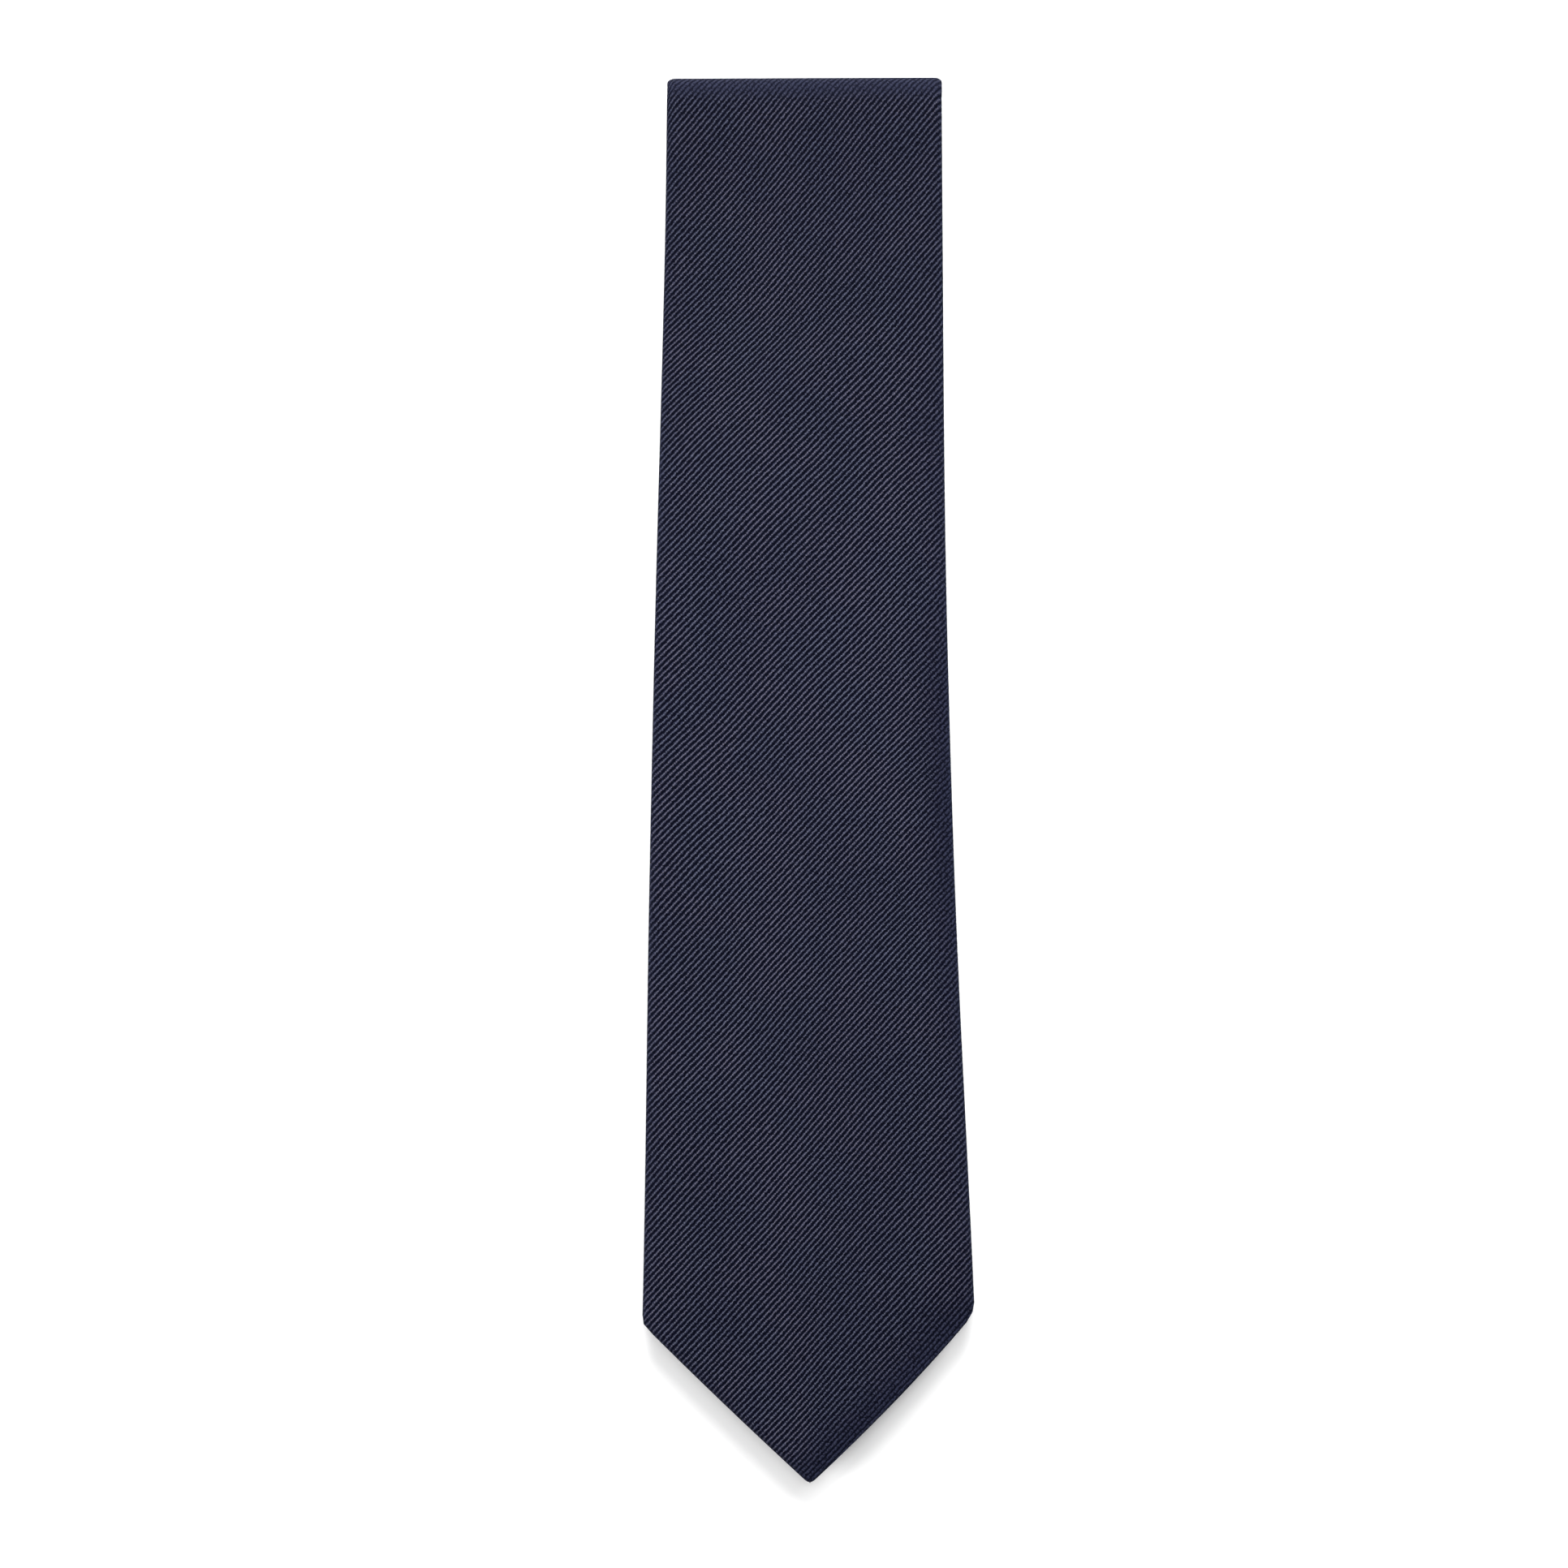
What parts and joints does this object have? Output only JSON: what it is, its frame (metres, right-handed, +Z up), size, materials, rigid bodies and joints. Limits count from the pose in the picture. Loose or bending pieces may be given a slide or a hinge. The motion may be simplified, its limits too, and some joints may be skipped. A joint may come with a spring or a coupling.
{
  "type": "necktie",
  "caption": "Navy silk twill necktie folded for storage, pointed blade uppermost, with lined ends, keeper loop and hinge folds that open it out flat.",
  "frame": {"origin": "centre of the folded tie's outline, on the surface that it lies on", "axes": "+Y along the tie from the blade's point to the top fold, +Z up through the layers, +X to the right of the blade seen from above"},
  "size_m": [0.09, 0.38, 0.0135],
  "materials": {
    "silk": "woven silk twill, soft sheen",
    "tipping": "plain satin lining, soft sheen",
    "interlining": "brushed wool, matte",
    "thread": "sewing thread, matte",
    "label": "woven tape, satin, blank",
    "care_label": "satin tape, white, blank"
  },
  "bodies": {
    "blade": {"blade_shell": "silk", "blade_interlining": "interlining", "blade_tipping": "tipping", "blade_slip_stitch": "thread", "blade_bar_tack": "thread", "keeper_loop": "silk", "keeper_stitches": "thread", "woven_label": "label", "label_stitches": "thread", "top_fold_shell": "silk", "top_fold_interlining": "interlining"},
    "upper_blade": {"upper_blade_shell": "silk", "neck_shell_lower": "silk", "blade_joining_seam": "thread", "upper_blade_interlining": "interlining", "upper_blade_slip_stitch": "thread", "lower_fold_shell": "silk", "lower_fold_interlining": "interlining"},
    "neck": {"neck_shell": "silk", "upper_tail_shell": "silk", "tail_joining_seam": "thread", "neck_interlining": "interlining", "neck_slip_stitch": "thread", "back_fold_shell": "silk", "back_fold_interlining": "interlining"},
    "tail": {"tail_shell": "silk", "tail_interlining": "interlining", "tail_tipping": "tipping", "tail_slip_stitch": "thread", "tail_bar_tack": "thread", "care_label": "care_label", "care_label_stitches": "thread"}
  },
  "joints": [
    {"name": "back_fold", "type": "hinge", "parent": "neck", "child": "tail", "pos_m": [0, 0.1827, 0.0033], "axis": [1, 0, 0], "range_deg": [0, 180], "deforming": ["back_fold_shell", "back_fold_interlining"]},
    {"name": "lower_fold", "type": "hinge", "parent": "neck", "child": "upper_blade", "pos_m": [0, -0.166, 0.00675], "axis": [1, 0, 0], "range_deg": [0, 180], "deforming": ["lower_fold_shell", "lower_fold_interlining"]},
    {"name": "top_fold", "type": "hinge", "parent": "upper_blade", "child": "blade", "pos_m": [0, 0.1867, 0.0102], "axis": [-1, 0, 0], "range_deg": [0, 180], "deforming": ["top_fold_shell", "top_fold_interlining"]}
  ]
}
